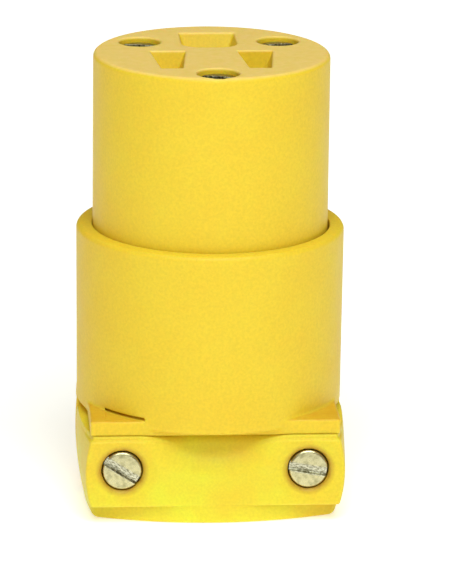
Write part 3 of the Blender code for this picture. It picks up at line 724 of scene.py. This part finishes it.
def plate_field(x, y, z):
    """A square pressure plate with ribs under it that bite the wire."""
    square = both(np.abs(x) - PLATE_HALF, np.abs(y) - PLATE_HALF, 0.5)
    solid = both(square, slab(z, 0.0, PLATE_THICK), 0.15)
    ribs = 0.12 * np.cos(2 * math.pi * y / RIB_PITCH) - 0.05
    solid = both(solid, ribs - z, 0.05)
    return without(solid, np.hypot(x, y) - PLATE_HOLE_R, 0.12)


def insert_field(x, y, z):
    """A knurled brass insert, with a groove round its middle."""
    radius = np.hypot(x, y)
    groove = 0.35 * (1 - ramp(np.abs(z - INSERT_HEIGHT / 2), 0.3, 0.6))
    knurl = 0.07 * np.cos(KNURLS * np.arctan2(y, x)) - 0.07
    solid = both(radius - INSERT_R - knurl + groove, slab(z, 0.0, INSERT_HEIGHT), 0.2)
    return without(solid, radius - INSERT_BORE_R, 0.25)


def nut_field(x, y, z):
    """A hexagon nut with its corners turned off."""
    flats = None
    for degrees in (0.0, 60.0, 120.0):
        side = np.abs(turn_xy(x, y, degrees)[0]) - NUT_ACROSS / 2
        flats = side if flats is None else np.maximum(flats, side)
    radius = np.hypot(x, y)
    cone = (radius + np.abs(z - NUT_THICK / 2) * 1.8 - 3.25 - NUT_THICK * 0.9) * 0.5
    solid = both(both(flats, slab(z, 0.0, NUT_THICK), 0.08), cone, 0.08)
    return without(solid, radius - NUT_BORE_R, 0.2)


# Materials


class Nodes:
    """A material's node tree, with short calls to add nodes and join them."""

    def __init__(self, name):
        self.material = bpy.data.materials.new(name)
        self.material.use_nodes = True
        self.tree = self.material.node_tree
        self.shader = self.tree.nodes["Principled BSDF"]
        self.local = self.add("ShaderNodeAttribute", attribute_name="local").outputs["Vector"]

    def add(self, kind, inputs=None, **settings):
        node = self.tree.nodes.new(kind)
        for key, value in settings.items():
            setattr(node, key, value)
        for key, value in (inputs or {}).items():
            self.put(value, node.inputs[key])
        return node

    def put(self, value, socket):
        if isinstance(value, bpy.types.NodeSocket):
            self.tree.links.new(value, socket)
        else:
            socket.default_value = value

    def noise(self, scale, detail=2.0, rough=0.5, vector=None):
        """Noise with this many cells a millimetre, from 0 to 1."""
        inputs = {"Vector": vector or self.local, "Scale": scale, "Detail": detail}
        inputs["Roughness"] = rough
        return self.add("ShaderNodeTexNoise", inputs).outputs["Fac"]

    def math(self, operation, a, b=0.0):
        return self.add("ShaderNodeMath", {0: a, 1: b}, operation=operation).outputs[0]

    def spread(self, value, low, high, to_low, to_high):
        names = ("Value", "From Min", "From Max", "To Min", "To Max")
        inputs = dict(zip(names, (value, low, high, to_low, to_high)))
        return self.add("ShaderNodeMapRange", inputs).outputs["Result"]

    def mix(self, share, a, b, kind="MIX"):
        node = self.add("ShaderNodeMix", data_type="RGBA", blend_type=kind)
        self.put(share, node.inputs[0])
        self.put(a, node.inputs[6])
        self.put(b, node.inputs[7])
        return node.outputs[2]

    def xyz(self):
        """The three parts of a point's place on its piece, in millimetres."""
        return self.add("ShaderNodeSeparateXYZ", {"Vector": self.local}).outputs

    def pair(self, a, b):
        return self.add("ShaderNodeCombineXYZ", {0: a, 1: b}).outputs[0]

    def hypot(self, a, b):
        inputs = {0: self.pair(a, b)}
        return self.add("ShaderNodeVectorMath", inputs, operation="LENGTH").outputs["Value"]

    def bump(self, height, strength, distance_mm, normal=None):
        inputs = {"Height": height, "Strength": strength, "Distance": distance_mm * MM}
        if normal is not None:
            inputs["Normal"] = normal
        return self.add("ShaderNodeBump", inputs).outputs["Normal"]

    def finish(self, colour, roughness, normal, **constants):
        self.put(colour, self.shader.inputs["Base Color"])
        self.put(roughness, self.shader.inputs["Roughness"])
        self.put(normal, self.shader.inputs["Normal"])
        for name, value in constants.items():
            self.shader.inputs[name.replace("_", " ")].default_value = value
        return self.material


def rgb(*parts):
    return (*parts, 1.0)


def shade(colour, share):
    """A darker version of a colour."""
    return rgb(*[share * part for part in colour])


def above(n, height, soft=0.3):
    """A mask of what lies above a height."""
    return n.spread(n.xyz()[2], height - soft, height, 0.0, 1.0)


def face(n):
    """A mask of the mating face, where a pale painted sheen stands in for its glancing reflection."""
    return above(n, FACE_Z - 0.05)


def shoulder_top_shade(n):
    """A mask of the shoulders' top, where it stands out from under the sleeve: painted shade goes
    there.
    """
    x, y, _ = n.xyz()
    outside = n.spread(n.hypot(x, y), SLEEVE_FOOT_R + 0.1, SLEEVE_FOOT_R + 0.3, 0.0, 1.0)
    band = n.math("SUBTRACT", above(n, SHOULDER_TOP_Z - 0.03, 0.25), above(n, SHOULDER_TOP_Z + 0.5))
    return n.math("MULTIPLY", outside, band)


def screw_ring_shade(n):
    """A mask of the edges of the holes round the clamp screws' heads, for painted shade in the gap
    round each head.
    """
    x, _, z = n.xyz()
    across = n.math("SUBTRACT", n.math("ABSOLUTE", x), CLAMP_X)
    away = n.hypot(across, n.math("SUBTRACT", z, CLAMP_Z))
    return n.spread(away, SIX_HEAD_R + 0.3, SIX_HEAD_R + 1.1, 1.0, 0.0)


def vinyl(name, colour, warm, stain_and_painted_light, painted_light_mask):
    """Moulded vinyl: fine grain, faint flow marks, paler edges, and painted light laid patchily where
    the mask says.
    """
    n = Nodes(name)
    flow = n.noise(0.09, 3.0, 0.55)
    speckle = n.noise(2.6, 2.0, 0.6)
    tone = n.mix(n.spread(flow, 0.35, 0.65, 0.0, 1.0), rgb(*colour), rgb(*warm))
    grainy = n.spread(speckle, 0.3, 0.7, 0.94, 1.05)
    grain_colour = n.add("ShaderNodeCombineColor", {0: grainy, 1: grainy, 2: grainy}).outputs[0]
    tone = n.mix(1.0, tone, grain_colour, "MULTIPLY")
    edge = n.add("ShaderNodeAttribute", attribute_name="edge").outputs["Fac"]
    worn = n.math("MULTIPLY", n.spread(edge, 0.25, 0.9, 0.0, 0.14), speckle)
    tone = n.mix(worn, tone, rgb(*YELLOW_WORN))
    patchiness = n.spread(n.noise(0.8, 4.0, 0.65), 0.3, 0.7, 0.55, 1.0)
    # Painted light: the given colour laid patchily over the mask, a sheen on the face and shade
    # elsewhere.
    tone = n.mix(n.math("MULTIPLY", painted_light_mask(n), patchiness), tone, rgb(*stain_and_painted_light))
    gloss = n.spread(n.noise(0.35, 3.0), 0.3, 0.7, 0.42, 0.50)
    waves = n.bump(n.noise(0.16, 2.0), 0.25, 0.06)
    grain = n.bump(n.noise(3.4, 3.0, 0.65), 0.35, 0.02, waves)
    n.shader.inputs["Subsurface Weight"].default_value = 0.35
    n.shader.inputs["Subsurface Scale"].default_value = 1.2 * MM
    n.shader.inputs["Subsurface Radius"].default_value = (1.0, 0.45, 0.1)
    return n.finish(tone, gloss, grain, IOR=1.5, Specular_IOR_Level=0.22)


def plated(name, colour, stain_and_painted_light, metallic=1.0, slot=False):
    """Turned, plated metal: lathe rings, duller patches, and in a slot a floor darkened with painted
    shade and streaked with scrapes from a driver.
    """
    n = Nodes(name)
    x, y, z = n.xyz()
    lathe = n.noise(9.0, 2.0, 0.5, n.pair(n.hypot(x, y), z))
    patches = n.noise(1.1, 4.0, 0.6)
    pits = n.noise(7.0, 3.0, 0.7)
    tone = n.mix(n.spread(patches, 0.45, 0.68, 0.0, 0.85), rgb(*colour), rgb(*stain_and_painted_light))
    dark = n.spread(pits, 0.58, 0.75, 0.0, 0.45)
    tone = n.mix(dark, tone, shade(stain_and_painted_light, 0.35))
    if slot:
        # Painted shade: the slot's floor is darkened, with bright driver scrapes streaked across it.
        lines = n.pair(n.math("MULTIPLY", x, 0.35), y)
        streaks = n.spread(n.noise(4.5, 3.0, 0.7, lines), 0.40, 0.58, 0.0, 1.0)
        shaded_and_scraped = n.mix(streaks, shade(stain_and_painted_light, 0.22), rgb(*ZINC_SCRAPED))
        inside = n.spread(n.math("ABSOLUTE", y), 0.55, 0.85, 0.75, 0.0)
        tone = n.mix(inside, tone, shaded_and_scraped)
    rough = n.spread(patches, 0.35, 0.7, 0.24, 0.42)
    marks = n.bump(lathe, 0.5, 0.012)
    return n.finish(tone, rough, n.bump(pits, 0.35, 0.02, marks), Metallic=metallic)


def thermoset(name):
    """Black moulded insulator, with faint grey flow marks."""
    n = Nodes(name)
    flow = n.noise(0.5, 4.0, 0.6)
    tone = n.mix(flow, rgb(*BLACK), rgb(*BLACK_FLOW))
    rough = n.spread(n.noise(2.0, 3.0), 0.3, 0.7, 0.42, 0.58)
    return n.finish(tone, rough, n.bump(n.noise(4.0, 2.0), 0.4, 0.02))


def rolled_brass(name, colour, stain_and_painted_light):
    """Brass strip: long fine rolling lines, and a warmer tarnish in patches."""
    n = Nodes(name)
    stretch = n.add("ShaderNodeMapping", {"Vector": n.local, "Scale": (9.0, 9.0, 0.25)})
    lines = n.noise(1.0, 3.0, 0.6, stretch.outputs["Vector"])
    patches = n.noise(0.4, 4.0, 0.6)
    tone = n.mix(n.spread(patches, 0.4, 0.7, 0.0, 1.0), rgb(*colour), rgb(*stain_and_painted_light))
    rough = n.spread(lines, 0.3, 0.7, 0.22, 0.38)
    return n.finish(tone, rough, n.bump(lines, 0.4, 0.01), Metallic=1.0)


# Colours, linear

# Painted light: a pale sheen on the face, and shade on the shoulders' top and round the clamp screws
FACE_SHEEN = (0.92, 0.63, 0.20)
SHOULDER_SHADE = (0.66, 0.36, 0.02)
SCREW_RING_SHADE = (0.44, 0.22, 0.02)

YELLOW = (0.78, 0.56, 0.034)
YELLOW_WARM = (0.78, 0.535, 0.031)
# Painted light: a lighter, more lemon copy of the yellow for the jaw, for the brighter light it gets.
YELLOW_LIT = (0.75, 0.68, 0.037)
YELLOW_WORN = (0.82, 0.68, 0.20)
ZINC = (0.60, 0.545, 0.31)
ZINC_STAIN = (0.34, 0.31, 0.16)
# Painted shade: darker copies of the zinc for the face screws, for the shade in their counterbores.
ZINC_SHADED = (0.33, 0.31, 0.17)
ZINC_SHADED_DARK = (0.10, 0.10, 0.06)
ZINC_SCRAPED = (0.78, 0.76, 0.62)
NICKEL = (0.72, 0.70, 0.65)
NICKEL_STAIN = (0.5, 0.48, 0.44)
GREEN = (0.05, 0.26, 0.11)
GREEN_STAIN = (0.03, 0.15, 0.07)
BLACK = (0.022, 0.021, 0.020)
BLACK_FLOW = (0.060, 0.056, 0.052)
BRASS = (0.78, 0.56, 0.24)
BRASS_STAIN = (0.58, 0.38, 0.15)


# The pieces


def outward(facing, point, turn=0.0):
    """The place of a piece whose own +Z faces a direction, after a turn about that +Z."""
    spin = Euler((0.0, 0.0, math.radians(turn)))
    rotation = (facing.to_matrix() @ spin.to_matrix()).to_4x4()
    return Matrix.Translation(Vector(point) * MM) @ rotation


TOWARDS_FACE = Euler((0.0, 0.0, 0.0))
TOWARDS_FRONT = Euler((math.radians(90), 0.0, 0.0))

# For each pole: which way its terminal faces, as a heading and as a direction, and its row's Y
POLES = {
    "hot": (-90, Vector((-1.0, 0.0, 0.0)), BLADE_Y),
    "neutral": (90, Vector((1.0, 0.0, 0.0)), BLADE_Y),
    "ground": (180, Vector((0.0, 1.0, 0.0)), 0.0),
}
CLAMP_SLOT_DEG = {"left": -33.0, "right": -10.0}
FACE_SLOT_DEG = {"front": -20.0, "right": 15.0, "left": 165.0}
EIGHT_LENGTH = 6.0
HEAD_ABOVE_PLATE = 1.3

# The size of the cells that each piece is sampled with
MOULDING_CELL = 0.26
JAW_CELL = 0.2
CONTACT_CELL = 0.16
PLATE_CELL = 0.12
SCREW_CELL = 0.11
CLAMP_SCREW_CELL = 0.09
SMALL_CELL = 0.1


def make_mouldings():
    """The three yellow mouldings."""
    mesh = shaped("front_body_look", front_body_field, BODY_LOW, BODY_HIGH, MOULDING_CELL)
    # The face gets a pale tan painted sheen in place of its glancing reflection.
    look = vinyl("face_vinyl", YELLOW, YELLOW_WARM, FACE_SHEEN, face)
    piece("front_body_look", mesh, "front", "face_vinyl", look)
    mesh = shaped("rear_shell_look", rear_shell_field, SHELL_LOW, SHELL_HIGH, MOULDING_CELL)
    # Painted shade: the shoulders' top is darkened to orange for the sleeve's shade over it.
    look = vinyl("shell_vinyl", YELLOW, YELLOW_WARM, SHOULDER_SHADE, shoulder_top_shade)
    piece("rear_shell_look", mesh, "shell", "shell_vinyl", look)
    mesh = shaped("clamp_jaw_look", jaw_field, JAW_LOW, JAW_HIGH, JAW_CELL)
    # Painted light: the jaw's lighter lemon yellow stands in for the brighter light on it.
    # Painted shade: a dark orange ring round each clamp screw's head.
    look = vinyl("jaw_vinyl", YELLOW_LIT, YELLOW, SCREW_RING_SHADE, screw_ring_shade)
    piece("clamp_jaw_look", mesh, "jaw", "jaw_vinyl", look)


def make_long_screws():
    """The face screws and the clamp screws."""
    look = plated("screw_steel", ZINC, ZINC_STAIN, slot=True)
    # Painted shade: the face screws get a darker copy of the screw steel, for the shade in their
    # counterbores.
    shaded_steel = plated("face_screw_steel", ZINC_SHADED, ZINC_SHADED_DARK, slot=True)
    length = FACE_SCREW_HIGH[2] - FACE_SCREW_LOW[2] - SIX_HEAD_H
    mesh = six_screw_mesh("face_screw", length, SCREW_CELL)
    head_z = FACE_SCREW_HIGH[2] - SIX_HEAD_H
    for side, (x, y, _) in FACE_SCREWS.items():
        place = outward(TOWARDS_FACE, (x, y, head_z), FACE_SLOT_DEG[side])
        name = f"face_screw_{side}"
        piece(name + "_look", mesh, f"{side}_face_screw", "screw_steel", shaded_steel, place=place)
    length = CLAMP_HIGH[1] - CLAMP_LOW[1] - SIX_HEAD_H
    mesh = six_screw_mesh("clamp_screw", length, CLAMP_SCREW_CELL)
    for side, turn in CLAMP_SLOT_DEG.items():
        x = CLAMP_X if side == "right" else -CLAMP_X
        place = outward(TOWARDS_FRONT, (x, CLAMP_LOW[1] + SIX_HEAD_H, CLAMP_Z), turn)
        piece(f"clamp_screw_{side}_look", mesh, f"{side}_clamp_screw", "screw_steel", look, place=place)


def make_small_parts():
    """The inserts in the shell's bosses and the nuts in its clamp half."""
    brass = plated("insert_brass", BRASS, BRASS_STAIN)
    mesh = shaped("shell_insert", insert_field, (-2.6, -2.6, 0), (2.6, 2.6, INSERT_HEIGHT), SMALL_CELL)
    for side, (x, y, _) in FACE_SCREWS.items():
        place = outward(TOWARDS_FACE, (x, y, INSERT_LOW[2]))
        piece(f"shell_insert_{side}_look", mesh, "shell", "insert_brass", brass, place=place)
    steel = plated("nut_steel", ZINC, ZINC_STAIN)
    mesh = shaped("clamp_nut", nut_field, (-3.8, -3.8, 0), (3.8, 3.8, 2.4), SMALL_CELL)
    for side in CLAMP_SLOT_DEG:
        x = CLAMP_X if side == "right" else -CLAMP_X
        place = outward(TOWARDS_FRONT, (x, NUT_HIGH[1], CLAMP_Z))
        piece(f"clamp_nut_{side}_look", mesh, "shell", "nut_steel", steel, place=place)


def make_terminals():
    """The terminal block, and each pole's contact, pressure plate and terminal screw."""
    mesh = shaped("terminal_block_look", block_field, BLOCK_LOW, BLOCK_HIGH, MOULDING_CELL)
    piece("terminal_block_look", mesh, "front", "terminal_plastic", thermoset("terminal_plastic"))
    brass = rolled_brass("contact_brass", BRASS, BRASS_STAIN)
    steel = plated("plate_steel", ZINC, ZINC_STAIN)
    looks = {
        "hot": ("hot_screw_brass", plated("hot_screw_brass", BRASS, BRASS_STAIN)),
        "neutral": (
            "neutral_screw_nickel",
            plated("neutral_screw_nickel", NICKEL, NICKEL_STAIN),
        ),
        "ground": (
            "ground_screw_green",
            plated("ground_screw_green", GREEN, GREEN_STAIN, metallic=0.7),
        ),
    }
    plate = shaped("pressure_plate", plate_field, (-3.7, -3.7, -0.1), (3.7, 3.7, 1.1), PLATE_CELL)
    screw = shaped(
        "terminal_screw",
        slotted_screw(EIGHT_HEAD_R, EIGHT_HEAD_H, EIGHT_MAJOR_R, EIGHT_LENGTH),
        (-EIGHT_HEAD_R, -EIGHT_HEAD_R, -EIGHT_LENGTH),
        (EIGHT_HEAD_R, EIGHT_HEAD_R, EIGHT_HEAD_H),
        SCREW_CELL,
    )
    for pole, (heading, out, offset) in POLES.items():
        facing = Euler((math.radians(90), 0.0, math.radians(heading)))
        base = Vector((0.0, offset, TERMINAL_Z))
        place = outward(facing, base + out * PLATE_FOOT_Y)
        piece(f"{pole}_pressure_plate_look", plate, f"{pole}_plate", "plate_steel", steel, place=place)
        own = screw.copy()
        own.name = f"{pole}_terminal_screw"
        place = outward(facing, base + out * (PLATE_FOOT_Y + HEAD_ABOVE_PLATE))
        slot, look = looks[pole]
        piece(f"{pole}_terminal_screw_look", own, f"{pole}_screw", slot, look, place=place)
        width = CONTACT_WIDTH[pole]
        field = pin_contact_field if pole == "ground" else blade_contact(width)
        low = (CONTACT_REACH[0], -width / 2, BLADE_LOW[2])
        high = (CONTACT_REACH[1], width / 2, BLADE_HIGH[2])
        contact = shaped(f"{pole}_contact_look", field, low, high, CONTACT_CELL)
        spin = Matrix.Rotation(math.atan2(out.y, out.x), 4, "Z")
        place = Matrix.Translation(Vector((0.0, offset, 0.0)) * MM) @ spin
        piece(f"{pole}_contact_look", contact, "front", "contact_brass", brass, place=place)


# Stage, lights and camera

CAMERA_AZIMUTH = -4.0
CAMERA_ELEVATION = 15.72
CAMERA_ROLL = 0.6
CAMERA_DISTANCE = 650.0
CAMERA_LENS = 277.06
CAMERA_SHIFT = (0.0407, -0.0466)
CAMERA_TARGET = Vector((0.0, 0.0, 35.0))
FLOOR_SIDE = 3.0
FLOOR_GLOW = 0.40
FAR_FLOOR_GLOW = 0.65
GLOW_RISES = (0.05, 0.35)
AMBIENT_TINT = (1.0, 0.82, 0.52)
AMBIENT_STRENGTH = 0.25
SOFTBOX_TINT = (0.86, 0.97, 1.0)
SOFTBOX_DISTANCE = 0.8


def direction(azimuth, elevation):
    """The direction from the object towards a place seen at these angles, from the front."""
    a, e = math.radians(azimuth), math.radians(elevation)
    return Vector((math.sin(a) * math.cos(e), -math.cos(a) * math.cos(e), math.sin(e)))


def add_camera():
    """The camera, with a shifted lens as the photo is framed off the object's middle."""
    data = bpy.data.cameras.new("camera")
    data.lens = CAMERA_LENS
    data.sensor_width = 36.0
    data.shift_x, data.shift_y = CAMERA_SHIFT
    data.clip_start = 0.01
    data.clip_end = 20.0
    camera = bpy.data.objects.new("camera", data)
    bpy.context.scene.collection.objects.link(camera)
    back = direction(CAMERA_AZIMUTH, CAMERA_ELEVATION)
    a = math.radians(CAMERA_AZIMUTH)
    right = Vector((math.cos(a), math.sin(a), 0.0))
    up = back.cross(right)
    axes = Matrix((right, up, back)).transposed()
    roll = Matrix.Rotation(math.radians(CAMERA_ROLL), 3, "Z")
    place = CAMERA_TARGET + back * CAMERA_DISTANCE
    camera.matrix_world = Matrix.Translation(place * MM) @ (axes @ roll).to_4x4()
    bpy.context.scene.camera = camera


def add_stage():
    """A pale floor that runs far behind the object and glows more there."""
    mesh = bpy.data.meshes.new("floor")
    corners = [(-1, -1), (1, -1), (1, 1), (-1, 1)]
    points = [(FLOOR_SIDE * x, FLOOR_SIDE * y, 0.0) for x, y in corners]
    mesh.from_pydata(points, [], [(0, 1, 2, 3)])
    floor = bpy.data.objects.new("floor", mesh)
    bpy.context.scene.collection.objects.link(floor)
    paper = bpy.data.materials.new("paper")
    paper.use_nodes = True
    nodes, links = paper.node_tree.nodes, paper.node_tree.links
    shader = nodes["Principled BSDF"]
    shader.inputs["Base Color"].default_value = rgb(0.93, 0.93, 0.93)
    shader.inputs["Roughness"].default_value = 0.9
    shader.inputs["Specular IOR Level"].default_value = 0.1
    shader.inputs["Emission Color"].default_value = rgb(1.0, 1.0, 1.0)
    where = nodes.new("ShaderNodeTexCoord").outputs["Object"]
    split = nodes.new("ShaderNodeSeparateXYZ")
    lift = nodes.new("ShaderNodeMapRange")
    lift.inputs["From Min"].default_value, lift.inputs["From Max"].default_value = GLOW_RISES
    lift.inputs["To Min"].default_value = FLOOR_GLOW
    lift.inputs["To Max"].default_value = FAR_FLOOR_GLOW
    links.new(where, split.inputs[0])
    links.new(split.outputs[1], lift.inputs["Value"])
    links.new(lift.outputs["Result"], shader.inputs["Emission Strength"])
    mesh.materials.append(paper)
    floor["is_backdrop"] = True


def add_softbox(name, azimuth, elevation, size, power):
    """A rectangular light that faces the object."""
    data = bpy.data.lights.new(name, "AREA")
    data.shape = "RECTANGLE"
    data.size, data.size_y = size
    data.energy = power
    data.color = SOFTBOX_TINT
    light = bpy.data.objects.new(name, data)
    bpy.context.scene.collection.objects.link(light)
    away = direction(azimuth, elevation)
    light.location = away * SOFTBOX_DISTANCE + CAMERA_TARGET * MM
    light.rotation_euler = away.to_track_quat("Z", "Y").to_euler()


def add_lights():
    """Warm ambient light, a high softbox and a lower one."""
    world = bpy.data.worlds.new("studio")
    world.use_nodes = True
    background = world.node_tree.nodes["Background"]
    background.inputs["Color"].default_value = rgb(*AMBIENT_TINT)
    background.inputs["Strength"].default_value = AMBIENT_STRENGTH
    bpy.context.scene.world = world
    add_softbox("key_softbox", azimuth=2.0, elevation=60.0, size=(0.6, 0.5), power=5.6)
    add_softbox("fill_softbox", azimuth=3.0, elevation=34.0, size=(0.6, 0.4), power=1.5)
    bpy.context.scene.view_settings.view_transform = "Standard"


make_mouldings()
make_long_screws()
make_small_parts()
make_terminals()
add_camera()
add_stage()
add_lights()

[[list(corner) for corner in box] for box in (CAD_BOX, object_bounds())]
